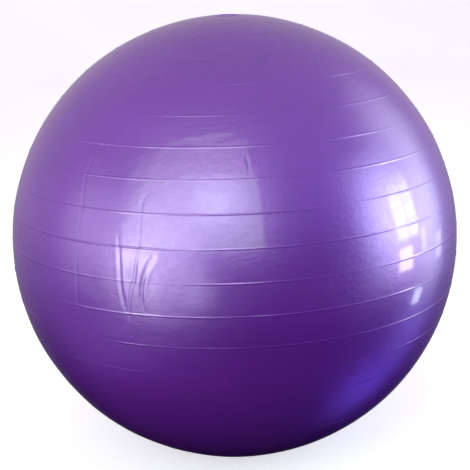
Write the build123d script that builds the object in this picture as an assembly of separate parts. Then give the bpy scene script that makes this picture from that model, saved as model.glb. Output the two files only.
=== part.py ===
"""Exercise ball, 65 cm: a one-piece soft PVC shell with moulded ribs, and its air valve.

Millimetres, +Z up. The origin is on the floor, under the middle of the flat patch that the
ball's weight presses into its underside. Everything is turned about the Z axis: the ribs are
parallels of latitude and the valve sits at the upper pole.
"""

import os
from math import cos, radians, sin

from build123d import *

# Inflated shell
ball_radius = 325.0  # at the equator, for the 65 cm size
half_height = 323.8  # pole to equator: a soft ball sags a little flat
floor_dent = 3.0  # how far the floor pushes the lower pole in
heel_radius = 60.0  # bend between the flat patch and the sides
wall = 0.8  # PVC film once it is stretched by the air

# Moulded grip ribs, evenly spaced in latitude with none on the equator. Towards the poles the
# film is blown out further, which draws the last of them apart.
rib_pitch = 7.6  # degrees
ribs_per_half = 9
even_ribs = 5
polar_spread = 0.35  # degrees, times the square of the number of ribs past the even ones
rib_round = 1.5  # radius of the bead
rib_height = 0.6  # how far the bead stands proud

# Valve seat: a thick PVC insert welded into the upper pole
seat_radius = 17.0  # the disc that fills the hole in the shell
seat_rim = 0.35  # the disc's edge stands proud of the shell
seat_rim_width = 2.2
flange_radius = 23.0  # welded to the inside of the shell
flange_thickness = 1.4
socket_radius = 7.4  # outside of the tube that grips the plug
socket_tip_radius = 6.4
socket_depth = 26.0  # below the floor of the recess
bore_radius = 4.6
recess_radius = 9.7
recess_depth = 3.6  # the plug's head sits safely below the surface of the ball
pocket_radius = 13.4  # outside of the wall round the recess and its notches
notch_width = 5.0  # two notches let a plug puller under the head
notch_reach = 2.2

# Plug: a white stopper with a flat head and three grip rings
head_radius = 9.3
head_thickness = 1.9
head_edge_round = 0.6
head_ring_radius = 5.8  # raised ring on top of the head
head_ring_round = 0.5
shank_length = 17.0
shank_radius = 4.2
shank_tip_radius = 3.5
running_gap = 0.05  # between a grip ring and the bore
grip_rings = 3
grip_ring_pitch = 4.2
grip_ring_length = 1.8
first_grip_ring = 4.0  # below the head
core_radius = 2.2  # the shank is moulded hollow, so that it can squeeze
core_depth = 13.0

centre_height = half_height - floor_dent
top = centre_height + half_height
recess_floor = top - recess_depth
huge = 2 * ball_radius


def right_of_axis(low, high, width=huge, start=0.0):
    """The rectangle of a half section between two heights, from start to start + width."""
    return Pos(start, low) * Rectangle(width, high - low, align=(Align.MIN, Align.MIN))


def ball_section(inset):
    """Half section of the inflated ball, inset all round, with its flat foot."""
    oval = Pos(0, centre_height) * Ellipse(ball_radius - inset, half_height - inset)
    face = oval & right_of_axis(inset, 2 * top)
    heel = face.vertices().filter_by_position(Axis.X, 1, ball_radius / 2).sort_by(Axis.Y)[0]
    return fillet(heel, heel_radius - inset)


def rib_latitude(number):
    """Latitude in degrees of a rib, counted from the equator."""
    past = max(0, number + 1 - even_ribs)
    return rib_pitch * (number + 0.5) + polar_spread * past**2


def rib_bead(latitude):
    """Section of one rib: a round bead sunk in the wall until only its crown shows."""
    sunk = rib_round - rib_height
    across = (ball_radius - sunk) * cos(radians(latitude))
    up = centre_height + (half_height - sunk) * sin(radians(latitude))
    return Pos(across, up) * Circle(rib_round)


def turn(section):
    """Turns a half section, drawn as radius and height, about the Z axis."""
    return revolve(Plane.XZ * section, Axis.Z, 360)


def make_ball_shell():
    section = ball_section(0)
    for number in range(ribs_per_half):
        latitude = rib_latitude(number)
        section += rib_bead(latitude) + rib_bead(-latitude)
    section -= ball_section(wall)
    section -= right_of_axis(centre_height, 2 * top, seat_radius)
    return turn(section)


def make_valve_seat():
    disc = ball_section(0) & right_of_axis(centre_height, 2 * top, seat_radius)
    rim_middle = seat_radius - seat_rim_width / 2
    rim = Pos(rim_middle, top - rim_sagitta()) * Ellipse(seat_rim_width / 2, seat_rim)
    disc -= ball_section(wall)
    flange_top = ball_section(wall) & right_of_axis(
        top - wall - flange_thickness, 2 * top, flange_radius
    )
    tube_end = recess_floor - socket_depth
    tube = Polygon(
        (0, tube_end),
        (socket_tip_radius, tube_end),
        (socket_radius, recess_floor - flange_thickness),
        (0, recess_floor - flange_thickness),
        align=None,
    )
    pocket_wall = right_of_axis(recess_floor - flange_thickness, top - wall, pocket_radius)
    section = disc + rim + flange_top + pocket_wall + tube
    section -= right_of_axis(0, 2 * top, bore_radius)
    section -= right_of_axis(recess_floor, 2 * top, recess_radius)
    notch = Pos(0, 0, recess_floor) * Box(
        2 * (recess_radius + notch_reach),
        notch_width,
        4 * recess_depth,
        align=(Align.CENTER, Align.CENTER, Align.MIN),
    )
    return turn(section) - notch


def rim_sagitta():
    """How far the ball has curved down at the seat's edge."""
    middle = seat_radius - seat_rim_width / 2
    return half_height * (1 - (1 - (middle / ball_radius) ** 2) ** 0.5)


def make_valve_plug():
    head = right_of_axis(recess_floor, recess_floor + head_thickness, head_radius)
    edge = head.vertices().sort_by(Axis.X)[-2:].sort_by(Axis.Y)[-1]
    head = fillet(edge, head_edge_round)
    head += Pos(head_ring_radius, recess_floor + head_thickness) * Circle(head_ring_round)
    tip = recess_floor - shank_length
    section = head + Polygon(
        (0, tip),
        (shank_tip_radius, tip),
        (shank_radius, recess_floor),
        (0, recess_floor),
        align=None,
    )
    for number in range(grip_rings):
        upper = recess_floor - first_grip_ring - number * grip_ring_pitch
        section += Polygon(
            (0, upper - grip_ring_length),
            (shank_tip_radius, upper - grip_ring_length),
            (bore_radius - running_gap, upper),
            (0, upper),
            align=None,
        )
    section -= right_of_axis(tip, tip + core_depth, core_radius)
    return turn(section)


os.makedirs("parts", exist_ok=True)
for name, shape in (
    ("ball_shell", make_ball_shell()),
    ("valve_seat", make_valve_seat()),
    ("valve_plug", make_valve_plug()),
):
    export_step(shape, f"parts/{name}.step")
    print(name, "solids", len(shape.solids()), "volume", round(shape.volume))
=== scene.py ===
# The exercise ball's looks: a creased, ribbed PVC skin round the CAD valve, in a pale studio.
# Metres and degrees, in the CAD model's frame: the floor is z = 0 and the ribs run round the
# Z axis. Longitude is counted from +X, so that -90 faces the camera, and latitude from the
# equator.

from math import cos, pi, radians, sin, sqrt, tan

import bpy
import numpy as np
from mathutils import Matrix, Vector


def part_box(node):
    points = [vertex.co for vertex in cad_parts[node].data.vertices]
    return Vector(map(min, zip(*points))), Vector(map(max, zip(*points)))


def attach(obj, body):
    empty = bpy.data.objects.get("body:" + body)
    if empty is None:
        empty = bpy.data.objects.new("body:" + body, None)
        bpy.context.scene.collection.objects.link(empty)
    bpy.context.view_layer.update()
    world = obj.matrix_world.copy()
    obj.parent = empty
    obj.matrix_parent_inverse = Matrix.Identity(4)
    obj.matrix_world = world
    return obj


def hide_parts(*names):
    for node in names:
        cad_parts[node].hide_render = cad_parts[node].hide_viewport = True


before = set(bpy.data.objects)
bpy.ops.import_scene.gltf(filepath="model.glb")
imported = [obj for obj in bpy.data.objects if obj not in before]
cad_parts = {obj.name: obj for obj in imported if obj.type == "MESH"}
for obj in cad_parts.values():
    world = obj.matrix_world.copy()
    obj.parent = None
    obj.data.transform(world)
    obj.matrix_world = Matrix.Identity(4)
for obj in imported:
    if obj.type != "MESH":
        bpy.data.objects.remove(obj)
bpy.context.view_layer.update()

MM = 0.001

# The ball, as the CAD model has it
shell_low, shell_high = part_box("ball_shell")
ball_radius = (shell_high[0] - shell_low[0]) / 2
half_height = 323.8 * MM
floor_dent = 3.0 * MM
centre_height = half_height - floor_dent
centre = Vector((0, 0, centre_height))
film = 0.8 * MM
hole_radius = 17.0 * MM

# Moulded ribs, evenly spaced in latitude but for the last ones before each pole
rib_pitch = 7.6
ribs_per_half = 9
even_ribs = 5
polar_spread = 0.35
rib_round = 1.5 * MM
rib_height = 0.6 * MM
rib_share, rib_swing, faintest_rib = 0.47, 0.36, 0.06  # parts of rib_height
underside_loss = 0.45  # how much fainter the ribs are below the latitudes that follow
underside_from, underside_to = -9, -27

# Unevenness of the film
soft_waves = 0.28 * MM  # height
crumple = 0.065 * MM  # height
creased_from, creased_to = -140.0, -84.0  # longitudes that the crumple and the folds stay within
crease_onset, crease_ending = 12.0, 22.0  # degrees over which the crumple comes and goes
smooth_to, smooth_from = 3.2, 9.0  # degrees from the upper pole between which the waves set in
foot_round = 0.5 * MM  # softens the edge of the flat patch on the floor

# Mesh of the skin
rib_rows = np.array((-1.9, -1.25, -0.65, 0.0, 0.65, 1.25, 1.9)) * MM  # rows across one rib
row_spacing = 5.4 * MM
fine_column = 0.30  # where the film is creased
coarse_column = 2.5
inner_rows = 10
inner_gap = 4.0 * MM  # the inner side stays this far in, clear of the grooves

# Pinched folds: path as (longitude, latitude), depth and half-width in millimetres
folds = (
    # the long arc on the left
    (((-107, 48), (-115, 45), (-123, 39), (-128, 33), (-130, 27), (-129, 20), (-129, 13)), 0.70, 2.4),
    (((-129, 9), (-129, 3), (-129, -4), (-127, -10)), 0.60, 2.4),
    # the fan that runs together below the equator
    (((-112, 23), (-112, 17), (-112, 12), (-112.5, 8), (-113, 2)), 0.60, 1.8),
    (((-107.5, 10.5), (-109.7, 7.5), (-111, 4), (-111.5, 0), (-110.8, -4)), 1.30, 2.5),
    (((-112.5, 9), (-113, 5), (-114.3, 0), (-114.8, -5)), 0.90, 2.1),
    (((-117.5, 14), (-116.8, 9), (-116.3, 1), (-114.8, -5)), 0.90, 2.5),
    # short ones beside it
    (((-104.4, 17), (-104, 11)), 0.28, 1.6),
    (((-97.4, 2.7), (-94.8, -1.2)), 0.35, 2.0),
    # the broad crease above it and the two that turn down from it
    (((-105, 35), (-99, 35.6), (-92, 36.4), (-86.5, 37)), 0.40, 4.0),
    (((-89, 33.8), (-86.5, 32), (-85.8, 28)), 0.50, 1.8),
    (((-112.5, 20), (-111.4, 22.5), (-109, 24.3), (-103, 25.2)), 0.45, 2.6),
    # two low ones
    (((-94, -11), (-98, -15), (-101, -19)), 0.50, 2.4),
    (((-120, -8), (-115, -7)), 0.45, 3.0),
)

# Camera
camera_distance = 5.6 * ball_radius
camera_elevation = 14.4
camera_roll = 2.0
camera_lens = 93.8
camera_sensor = 36.0
aim_offset = Vector((0.5 * MM, 0, 0.5 * MM))

# Studio: directions as (azimuth, elevation) seen from the ball, with azimuth 0 behind the camera
light_distance = 3.0
darkest = (25, -45)
room_light = (
    # angle from the darkest direction, colour
    (40, (0.03, 0.03, 0.03)),
    (58, (0.12, 0.09, 0.26)),
    (75, (0.26, 0.21, 0.44)),
    (95, (0.37, 0.31, 0.50)),
    (125, (0.46, 0.38, 0.50)),
    (180, (0.44, 0.37, 0.44)),
)
dark_below, lit_above = -0.65, 0.10  # sines of the elevations between which the room darkens
pane_bar = 0.12  # width of a window's bars, as a part of one pane
pane_bar_loss = 0.65
floor_level_radius = 4.5
floor_bend_radius = 2.0
floor_wall_top = 9.0
floor_sectors = 96


# ---------------------------------------------------------------- skin

def list_rib_latitudes():
    latitudes = []
    for number in range(ribs_per_half):
        past = max(0, number + 1 - even_ribs)
        latitude = rib_pitch * (number + 0.5) + polar_spread * past**2
        latitudes += [-latitude, latitude]
    return latitudes


def stagger(low, high, step):
    """Evenly spaced values from low up to, but without, high, about a step apart."""
    return np.linspace(low, high, max(1, round((high - low) / step)), endpoint=False)


def column_longitudes():
    fine = stagger(creased_from, creased_to, fine_column)
    coarse = stagger(creased_to, creased_from + 360, coarse_column)
    return np.concatenate((fine, coarse))


def row_latitudes():
    """From the lower pole to the edge of the valve's hole, close together at the ribs."""
    spacing = np.degrees(row_spacing / ball_radius)
    across_rib = np.degrees(rib_rows / ball_radius)
    hole_edge = np.degrees(np.arccos(hole_radius / ball_radius))
    low = -90.0
    rows = [(low,)]
    for rib in sorted(rib_latitudes):
        around = rib + across_rib
        rows.append(stagger(low, around[0], spacing)[1:])
        rows.append(around)
        low = around[-1]
    rows.append(stagger(low, hole_edge, spacing)[1:])
    rows.append((hole_edge,))
    return np.concatenate(rows)


def smooth_step(value, low, high):
    """Rises smoothly from 0 at low to 1 at high, or falls if high is below low."""
    t = np.clip((value - low) / (high - low), 0, 1)
    return t * t * (3 - 2 * t)


def waves(points, count, shortest, longest, seed):
    """Smooth random waves through space, about -1 to 1. Lengths are in metres."""
    random = np.random.default_rng(seed)
    total = np.zeros(points.shape[:-1])
    for _ in range(count):
        direction = random.normal(size=3)
        direction /= np.linalg.norm(direction)
        length = random.uniform(shortest, longest)
        total += np.sin(points @ direction * (2 * pi / length) + random.uniform(0, 2 * pi))
    return total / sqrt(count)


def directions(longitude, latitude):
    """Unit vectors from the middle of the ball."""
    lon, lat = np.radians(longitude), np.radians(latitude)
    return np.stack((np.cos(lat) * np.cos(lon), np.cos(lat) * np.sin(lon), np.sin(lat)), axis=-1)


def place(longitude, latitude, rise):
    """Points on the ball, raised by rise and pressed flat on the floor."""
    towards = directions(longitude, latitude)
    across = towards[..., :2] * (ball_radius + rise)[..., None]
    up = centre_height + towards[..., 2] * (half_height + rise)
    up = (up + np.sqrt(up * up + foot_round * foot_round)) / 2
    return np.concatenate((across, up[..., None]), axis=-1)


def rib_rise(longitude, latitude):
    """The beads, stronger and fainter along their way as the film was stretched more or less."""
    sunk = rib_round - rib_height
    rise = np.zeros(latitude.shape)
    for number, rib in enumerate(rib_latitudes):
        off = np.radians(latitude - rib) * ball_radius
        bead = np.sqrt(np.maximum(rib_round**2 - off**2, 0)) - sunk
        on_it = bead > 0
        where = directions(longitude[on_it], np.full(on_it.sum(), rib)) * ball_radius
        uneven = rib_share + rib_swing * waves(where, 9, 0.05, 0.4, seed=100 + number)
        loss = underside_loss * smooth_step(rib, underside_from, underside_to)
        rise[on_it] += bead[on_it] * np.clip(uneven, faintest_rib, 1.0) * (1 - loss)
    return rise


def through(points, samples=60):
    """A smooth curve through points of (longitude, latitude), as unit vectors."""
    given = np.array(points, float)
    beyond = np.vstack((2 * given[0] - given[1], given, 2 * given[-1] - given[-2]))
    steps = np.linspace(0, 1, samples // (len(given) - 1), endpoint=False)
    curve = []
    for a, b, c, d in zip(beyond, beyond[1:], beyond[2:], beyond[3:]):
        for t in steps:
            slope = (c - a) * t
            bend = (2 * a - 5 * b + 4 * c - d) * t**2
            turn = (3 * b - a - 3 * c + d) * t**3
            curve.append((2 * b + slope + bend + turn) / 2)
    curve.append(given[-1])
    longitude, latitude = np.array(curve).T
    return directions(longitude, latitude)


def nearest_on(line, points):
    """Each point's distance from a line, and how far along the line it is nearest, 0 to 1."""
    distance = np.full(points.shape[:-1], np.inf)
    along = np.zeros(points.shape[:-1])
    for number, step in enumerate(line):
        gap = np.linalg.norm(points - step, axis=-1)
        nearer = gap < distance
        distance[nearer] = gap[nearer]
        along[nearer] = number / (len(line) - 1)
    return distance, along


def groove(unit, path, depth, half_width):
    """A pinched fold along a path: a groove between low shoulders, fading out at both ends."""
    line = through(path)
    middle = line.mean(axis=0)
    reach = np.linalg.norm(line - middle, axis=1).max() + 6 * half_width / ball_radius
    close = np.linalg.norm(unit - middle, axis=-1) < reach
    distance, along = nearest_on(line, unit[close])
    across = distance * ball_radius / half_width
    fade = np.sin(pi * np.clip(along, 0.02, 0.98)) ** 0.6
    shoulders = 0.45 * np.exp(-((across / 2.6) ** 2))
    rise = np.zeros(unit.shape[:-1])
    rise[close] = depth * fade * (shoulders - np.exp(-(across**2)))
    return rise


def skin_rise(longitude, latitude):
    """How far the film stands out from the plain ball."""
    unit = directions(longitude, latitude)
    away_from_valve = smooth_step(90 - latitude, smooth_to, smooth_from)
    onset = smooth_step(longitude, creased_from, creased_from + crease_onset)
    ending = smooth_step(longitude, creased_to, creased_to - crease_ending)
    rise = soft_waves * waves(unit * ball_radius, 12, 0.09, 0.30, seed=5)
    rise += crumple * waves(unit * ball_radius, 24, 0.018, 0.05, seed=11) * onset * ending
    for path, depth, half_width in folds:
        rise += groove(unit, path, depth * MM, half_width * MM)
    return rise * away_from_valve + rib_rise(longitude, latitude)


def grid_faces(rows, columns, inward=False):
    """Quads between rows of columns that close round."""
    row, column = np.meshgrid(np.arange(rows - 1), np.arange(columns), indexing="ij")
    a = row * columns + column
    b = row * columns + (column + 1) % columns
    quads = np.stack((a, b, b + columns, a + columns), axis=-1).reshape(-1, 4)
    return quads[:, ::-1] if inward else quads


def outer_side(columns, rows):
    longitude, latitude = np.meshgrid(columns, rows)
    return place(longitude, latitude, skin_rise(longitude, latitude))


def inner_side(columns, rows):
    """The plain inside, which starts one film's thickness under the edge of the hole."""
    longitude, latitude = np.meshgrid(columns, rows)
    inset = np.where(latitude == rows[0], film, inner_gap)
    points = place(longitude, latitude, -inset)
    points[..., 2] = np.maximum(points[..., 2], film)
    return points


def make_skin():
    """The whole film as one closed shell: the outside, the hole's edge and the inside."""
    columns = column_longitudes()
    rows = row_latitudes()
    inner_latitudes = np.linspace(rows[-1], -90, inner_rows + 2)[:-1]
    outside = outer_side(columns, rows[1:])
    inside = inner_side(columns, inner_latitudes)
    shell = np.concatenate((outside.reshape(-1, 3), inside.reshape(-1, 3)))
    lower_pole = place(np.array(0.0), np.array(-90.0), np.array(0.0))
    inner_pole = np.array((0, 0, film))

    count = len(columns)
    quads = grid_faces(len(outside) + len(inside), count)
    ring = np.arange(count)
    after = (ring + 1) % count
    last_ring = len(shell) - count
    outer_fan = np.stack((np.full(count, len(shell)), after, ring), axis=-1)
    inner_fan = np.stack(
        (np.full(count, len(shell) + 1), last_ring + ring, last_ring + after), axis=-1
    )

    points = np.vstack((shell, lower_pole, inner_pole))
    faces = quads.tolist() + outer_fan.tolist() + inner_fan.tolist()
    return make_object("ball_skin", points.tolist(), faces)


def make_object(name, points, faces):
    """A smooth-shaded mesh object."""
    mesh = bpy.data.meshes.new(name)
    mesh.from_pydata(points, [], faces)
    mesh.validate()
    mesh.polygons.foreach_set("use_smooth", [True] * len(mesh.polygons))
    made = bpy.data.objects.new(name, mesh)
    bpy.context.collection.objects.link(made)
    return made


# ---------------------------------------------------------------- materials

class Shader:
    """A Principled material and short ways to add nodes to it."""

    # The Mix node's colour sockets share their names with others, so they go by number
    mix_share, mix_low, mix_high, mix_result = 0, 6, 7, 2

    def __init__(self, name, **values):
        """Values are the shader's own sockets, with _ for the spaces in their names."""
        self.material = bpy.data.materials.new(name)
        self.material.use_nodes = True
        self.tree = self.material.node_tree
        self.surface = self.tree.nodes["Principled BSDF"]
        self.coordinates = self.tree.nodes.new("ShaderNodeTexCoord")
        for socket, value in values.items():
            self.surface.inputs[socket.replace("_", " ")].default_value = value

    def add(self, kind, values=(), links=(), **settings):
        node = self.tree.nodes.new(kind)
        for key, value in settings.items():
            setattr(node, key, value)
        for socket, value in dict(values).items():
            node.inputs[socket].default_value = value
        for socket, source in dict(links).items():
            self.tree.links.new(source, node.inputs[socket])
        return node

    def noise(self, scale, detail=4.0, roughness=0.5, stretch=(1, 1, 1)):
        """Noise fixed to the object; a larger stretch makes it finer that way."""
        stretched = self.add(
            "ShaderNodeMapping",
            {"Scale": stretch},
            {"Vector": self.coordinates.outputs["Object"]},
        )
        made = self.add(
            "ShaderNodeTexNoise",
            {"Scale": scale, "Detail": detail, "Roughness": roughness},
            {"Vector": stretched.outputs["Vector"]},
        )
        return made.outputs["Fac"]

    def spread(self, source, low, high, to_low=0.0, to_high=1.0):
        made = self.add(
            "ShaderNodeMapRange",
            {"From Min": low, "From Max": high, "To Min": to_low, "To Max": to_high},
            {"Value": source},
        )
        return made.outputs["Result"]

    def fade(self, source, at_zero, at_one):
        """A smooth step from 0 to 1, also for at_zero above at_one."""
        made = self.add(
            "ShaderNodeMapRange",
            {"From Min": at_zero, "From Max": at_one},
            {"Value": source},
            interpolation_type="SMOOTHSTEP",
        )
        return made.outputs["Result"]

    def mix(self, share, low, high):
        """A colour between low and high, each a colour of its own or another node's."""
        made = self.add("ShaderNodeMix", data_type="RGBA")
        self.tree.links.new(share, made.inputs[self.mix_share])
        for socket, colour in ((self.mix_low, low), (self.mix_high, high)):
            if isinstance(colour, tuple):
                made.inputs[socket].default_value = (*colour, 1)
            else:
                self.tree.links.new(colour, made.inputs[socket])
        return made.outputs[self.mix_result]

    def math(self, operation, *values):
        node = self.add("ShaderNodeMath", operation=operation)
        for socket, value in zip(node.inputs, values):
            if isinstance(value, (int, float)):
                socket.default_value = value
            else:
                self.tree.links.new(value, socket)
        return node.outputs["Value"]

    def bump(self, height, distance, before=None):
        links = {"Height": height}
        if before is not None:
            links["Normal"] = before
        made = self.add("ShaderNodeBump", {"Strength": 1.0, "Distance": distance}, links)
        return made.outputs["Normal"]

    def link(self, socket, source):
        self.tree.links.new(source, self.surface.inputs[socket])


def ball_pvc():
    """Pearl-filled purple PVC: a broad soft sheen under a thin glossy top."""
    pvc = Shader(
        "ball_pvc",
        Metallic=0.38,
        IOR=1.9,
        Specular_IOR_Level=1.0,
        Coat_Weight=1.0,
        Coat_Roughness=0.08,
        Coat_IOR=1.6,
    )
    clouds = pvc.spread(pvc.noise(4.5, 5.0, 0.6, stretch=(1, 1, 2.2)), 0.35, 0.65)
    fine = pvc.spread(pvc.noise(110.0, 6.0, 0.7), 0.35, 0.65)
    pigment = pvc.mix(clouds, (0.195, 0.014, 0.45), (0.240, 0.024, 0.53))
    pvc.link("Base Color", pvc.mix(pvc.spread(fine, 0, 1, 0, 0.6), pigment, (0.165, 0.010, 0.40)))
    pvc.link("Roughness", pvc.spread(fine, 0, 1, 0.32, 0.40))
    film_waves = pvc.bump(pvc.noise(14.0, 2.0, 0.4), 0.5 * MM)
    brushed = pvc.noise(60.0, 3.0, 0.5, stretch=(1, 1, 3.5))
    stretch_marks = pvc.bump(brushed, 0.18 * MM, before=film_waves)
    peel = pvc.bump(pvc.noise(150.0, 4.0, 0.65), 0.35 * MM, before=stretch_marks)
    grain = pvc.bump(pvc.noise(520.0, 2.0, 0.5), 0.03 * MM, before=peel)
    pvc.link("Normal", grain)
    return pvc.material


def seat_pvc():
    """The thicker moulded insert: the same purple, a shade deeper and a little duller."""
    pvc = Shader(
        "seat_pvc",
        Metallic=0.38,
        IOR=1.9,
        Specular_IOR_Level=1.0,
        Coat_Weight=1.0,
        Coat_Roughness=0.12,
        Coat_IOR=1.6,
    )
    clouds = pvc.spread(pvc.noise(60.0, 4.0), 0.35, 0.65)
    pvc.link("Base Color", pvc.mix(clouds, (0.190, 0.040, 0.50), (0.225, 0.050, 0.56)))
    pvc.link("Roughness", pvc.spread(pvc.noise(300.0, 4.0), 0.3, 0.7, 0.38, 0.52))
    pvc.link("Normal", pvc.bump(pvc.noise(900.0, 3.0, 0.6), 0.03 * MM))
    return pvc.material


def plug_plastic():
    """White polyethylene: waxy, very slightly yellowed in patches, with fine scratches."""
    plastic = Shader(
        "plug_plastic",
        IOR=1.5,
        Specular_IOR_Level=0.5,
        Subsurface_Weight=0.15,
        Subsurface_Scale=1.5 * MM,
    )
    patches = plastic.spread(plastic.noise(140.0, 4.0), 0.35, 0.65)
    plastic.link("Base Color", plastic.mix(patches, (0.82, 0.81, 0.77), (0.87, 0.87, 0.85)))
    scratches = plastic.noise(500.0, 5.0, 0.7, stretch=(1, 7, 1))
    plastic.link("Roughness", plastic.spread(scratches, 0.35, 0.65, 0.32, 0.5))
    plastic.link("Normal", plastic.bump(scratches, 0.015 * MM))
    return plastic.material


def floor_paint():
    """Pale matt paint that gives a little light of its own, so that it stays near white."""
    paint = Shader("floor_paint", Specular_IOR_Level=0.2, Emission_Strength=0.72)
    patches = paint.spread(paint.noise(1.4, 4.0), 0.3, 0.7)
    tone = paint.mix(patches, (0.80, 0.79, 0.80), (0.83, 0.82, 0.83))
    paint.link("Base Color", tone)
    paint.link("Emission Color", tone)
    paint.link("Roughness", paint.spread(patches, 0, 1, 0.6, 0.7))
    return paint.material


def dress(name, material):
    """Gives a CAD node's object a material of its own."""
    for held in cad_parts[name].material_slots:
        held.link = "DATA"
        held.material = material


# ---------------------------------------------------------------- studio

def seen_from_ball(azimuth, elevation):
    """A direction: azimuth 0 is behind the camera, positive to its right."""
    a, e = radians(azimuth), radians(elevation)
    return Vector((sin(a) * cos(e), -cos(a) * cos(e), sin(e)))


def spanned(angle):
    """How far an angle reaches to one side, at the distance of the lights."""
    return light_distance * tan(radians(angle))


def softbox(name, azimuth, elevation, width, height, colour, radiance):
    """
    A glowing panel that faces the ball and fades out from its middle to its edges. Width and
    height are the angles over which it is seen.
    """
    across, up = spanned(width / 2), spanned(height / 2)
    glow = make_glow(name, colour, radiance, (0.5, 0.5, 0.5, 0.5))
    panel(name, seen_from_ball(azimuth, elevation), (-across, across), (-up, up), glow)


def window(name, facing, azimuths, elevations, colour, radiance, fades, panes=None):
    """
    An upright panel, square to azimuth facing, between two azimuths. Its lower and upper edges
    are at these elevations where it is straight ahead. It fades in from its left, right, lower
    and upper edges over these shares of its size. Panes are columns and rows between bars.
    """
    sides = [spanned(azimuth - facing) for azimuth in azimuths]
    heights = [spanned(elevation) for elevation in elevations]
    glow = make_glow(name, colour, radiance, fades, panes)
    panel(name, seen_from_ball(facing, 0), sides, heights, glow)


def panel(name, towards, sides, heights, material):
    """A rectangle square to a direction, which lights the ball but isn't seen itself."""
    (left, right), (low, high) = sides, heights
    corners = [(left, low, 0), (right, low, 0), (right, high, 0), (left, high, 0)]
    held = make_object(name, corners, [(0, 1, 2, 3)])
    held.data.materials.append(material)
    held.location = centre + towards * light_distance
    held.rotation_euler = towards.to_track_quat("Z", "Y").to_euler()
    held.visible_camera = False


def make_glow(name, colour, radiance, fades, panes=None):
    """What a panel sends out; the room behind it shows through where it has faded."""
    shader = Shader(name)
    generated = shader.coordinates.outputs["Generated"]
    split = shader.add("ShaderNodeSeparateXYZ", links={"Vector": generated})
    x, y = split.outputs["X"], split.outputs["Y"]
    left, right, bottom, top = fades
    strength = shader.math("MULTIPLY", shader.fade(x, 0, left), shader.fade(x, 1, 1 - right))
    strength = shader.math("MULTIPLY", strength, shader.fade(y, 0, bottom))
    strength = shader.math("MULTIPLY", strength, shader.fade(y, 1, 1 - top))
    if panes:
        for coordinate, count in zip((x, y), panes):
            within = shader.math("FRACT", shader.math("MULTIPLY", coordinate, count))
            bar = shader.math("LESS_THAN", within, pane_bar)
            let_through = shader.math("MULTIPLY_ADD", bar, -pane_bar_loss, 1.0)
            strength = shader.math("MULTIPLY", strength, let_through)
    strength = shader.math("MULTIPLY", strength, radiance)
    light = shader.add("ShaderNodeEmission", {"Color": (*colour, 1)}, {"Strength": strength})
    clear = shader.add("ShaderNodeBsdfTransparent")
    both = shader.add("ShaderNodeAddShader", links={0: light.outputs[0], 1: clear.outputs[0]})
    output = shader.tree.nodes["Material Output"]
    shader.tree.links.new(both.outputs[0], output.inputs["Surface"])
    shader.tree.nodes.remove(shader.surface)
    return shader.material


def make_lights():
    # In front and to the left: a wide bay window, its bright middle, and the glow of the wall
    window("upper_window", -8, (-64, 15), (43, 63), (0.88, 1.0, 0.82), 1.0, (0.3, 0.02, 0.01, 0.05))
    window("lower_window", -8, (-59, 15), (7, 43), (0.78, 1.0, 0.72), 2.0, (0.25, 0.02, 0.02, 0.02))
    softbox("window_core", -9, 29, 34, 26, (0.72, 0.95, 1.0), 2.4)
    window("left_window", -46, (-58, -35), (-27, 8), (0.82, 0.95, 0.68), 2.2, (0.1, 0.2, 0.7, 0.04))
    window("left_sky", -46, (-56.5, -36), (-5, 5), (0.85, 1.0, 0.85), 3.3, (0.1, 0.1, 0.5, 0.1))
    softbox("left_wide", -38, 0, 64, 64, (0.85, 1.0, 0.85), 1.9)
    softbox("low_glimmer", -18, -9, 26, 30, (0.80, 0.9, 1.0), 1.2)
    # To the right: a window with bars, what is under and behind it, and its halo
    window("right_window", 91, (82, 100), (-3.5, 20), (0.68, 1.0, 0.68), 4.8, (0.1, 0.1, 0.02, 0.45), (2, 4))
    window("low_pane", 87, (82, 93), (-14.3, -5.8), (1.0, 0.95, 0.70), 7.0, (0.1, 0.1, 0.1, 0.05), (1, 2))
    window("side_strip", 103, (99.5, 105.5), (-11.5, -1), (0.80, 0.9, 1.0), 2.4, (0.3, 0.3, 0.3, 0.2))
    window("low_strip", 102, (97, 106.5), (-26.5, -20.5), (0.75, 0.9, 1.0), 4.6, (0.3, 0.3, 0.2, 0.2))
    window("back_strip", 118, (114.5, 122), (-14, -7), (0.85, 0.9, 1.0), 1.8, (0.2, 0.2, 0.1, 0.1), (2, 2))
    softbox("right_near", 79, 8, 46, 62, (0.70, 0.85, 1.0), 4.5)
    softbox("right_edge", 108, -3, 42, 54, (0.80, 0.95, 1.0), 2.4)
    softbox("right_halo", 110, 22, 54, 58, (0.82, 1.0, 0.90), 1.55)
    # Round the rim: the wall on the far left, and the violet tint low down
    softbox("far_left", -74, 8, 48, 60, (1.0, 1.0, 1.0), 0.95)
    softbox("low_left", -72, -36, 90, 38, (0.62, 0.45, 1.0), 0.30)
    softbox("low_side", 106, -32, 40, 30, (0.30, 0.25, 1.0), 0.9)
    softbox("low_right", 106, -52, 46, 36, (0.20, 0.12, 1.0), 1.1)


def make_world():
    """A room's worth of soft light, darkest low in front of the ball."""
    world = bpy.data.worlds.new("studio")
    world.use_nodes = True
    tree = world.node_tree
    background = tree.nodes["Background"]
    direction = tree.nodes.new("ShaderNodeTexCoord").outputs["Generated"]
    tree.links.new(room_colour(tree, direction), background.inputs["Color"])
    tree.links.new(room_strength(tree, direction), background.inputs["Strength"])
    bpy.context.scene.world = world


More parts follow.
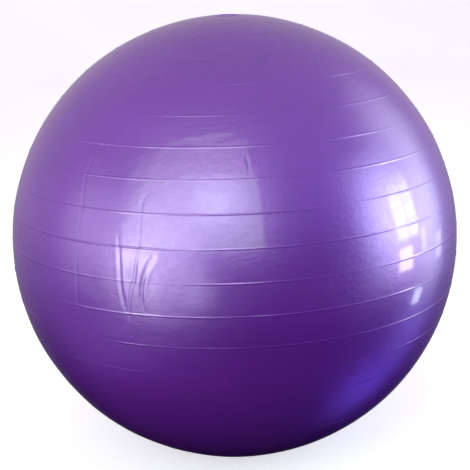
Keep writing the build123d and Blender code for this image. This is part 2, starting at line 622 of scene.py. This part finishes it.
def room_colour(tree, direction):
    """Colour by the angle from the darkest direction."""
    nearness = tree.nodes.new("ShaderNodeVectorMath")
    nearness.operation = "DOT_PRODUCT"
    nearness.inputs[1].default_value = seen_from_ball(*darkest)
    angle = tree.nodes.new("ShaderNodeMath")
    angle.operation = "ARCCOSINE"
    share = tree.nodes.new("ShaderNodeMath")
    share.operation = "DIVIDE"
    share.inputs[1].default_value = pi
    ramp = tree.nodes.new("ShaderNodeValToRGB")
    tree.links.new(direction, nearness.inputs[0])
    tree.links.new(nearness.outputs["Value"], angle.inputs[0])
    tree.links.new(angle.outputs["Value"], share.inputs[0])
    tree.links.new(share.outputs["Value"], ramp.inputs["Fac"])

    stops = ramp.color_ramp.elements
    positions = [degrees_away / 180 for degrees_away, _ in room_light]
    stops[0].position = positions[0]
    stops[1].position = positions[-1]
    for position in positions[1:-1]:
        stops.new(position)
    for stop, (_, colour) in zip(stops, room_light):
        stop.color = (*colour, 1)
    return ramp.outputs["Color"]


def room_strength(tree, direction):
    """Full strength above, nothing straight below."""
    split = tree.nodes.new("ShaderNodeSeparateXYZ")
    above = tree.nodes.new("ShaderNodeMapRange")
    above.interpolation_type = "SMOOTHSTEP"
    above.inputs["From Min"].default_value = dark_below
    above.inputs["From Max"].default_value = lit_above
    tree.links.new(direction, split.inputs["Vector"])
    tree.links.new(split.outputs["Z"], above.inputs["Value"])
    return above.outputs["Result"]


def make_floor():
    """A pale round sweep: level under the ball, curving up into a wall all the way round."""
    bend = [radians(6 * n) for n in range(16)]
    profile = [
        (floor_level_radius + floor_bend_radius * sin(t), floor_bend_radius * (1 - cos(t)))
        for t in bend
    ]
    profile.append((floor_level_radius + floor_bend_radius, floor_wall_top))
    around = [2 * pi * n / floor_sectors for n in range(floor_sectors)]
    points = [(r * cos(a), r * sin(a), z) for r, z in profile for a in around]
    sweep = grid_faces(len(profile), floor_sectors, inward=True).tolist()
    level = list(range(floor_sectors))
    floor = make_object("studio_floor", points, [level, *sweep])
    floor.data.materials.append(floor_paint())
    floor.visible_diffuse = False
    floor.visible_glossy = False
    floor.visible_shadow = False


def make_camera():
    data = bpy.data.cameras.new("camera")
    data.sensor_width = camera_sensor
    data.lens = camera_lens
    data.clip_end = 100.0
    camera = bpy.data.objects.new("camera", data)
    back = seen_from_ball(0, camera_elevation)
    camera.location = centre + aim_offset + back * camera_distance
    turn = back.to_track_quat("Z", "Y").to_matrix().to_4x4()
    roll = Matrix.Rotation(radians(-camera_roll), 4, "Z")
    camera.rotation_euler = (turn @ roll).to_euler()
    bpy.context.collection.objects.link(camera)
    bpy.context.scene.camera = camera


bpy.context.scene.view_settings.view_transform = "Standard"
make_camera()
make_world()
make_floor()
make_lights()

rib_latitudes = list_rib_latitudes()
skin = make_skin()
skin.data.materials.append(ball_pvc())
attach(skin, "ball")
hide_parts("ball_shell")
dress("valve_seat", seat_pvc())
dress("valve_plug", plug_plastic())
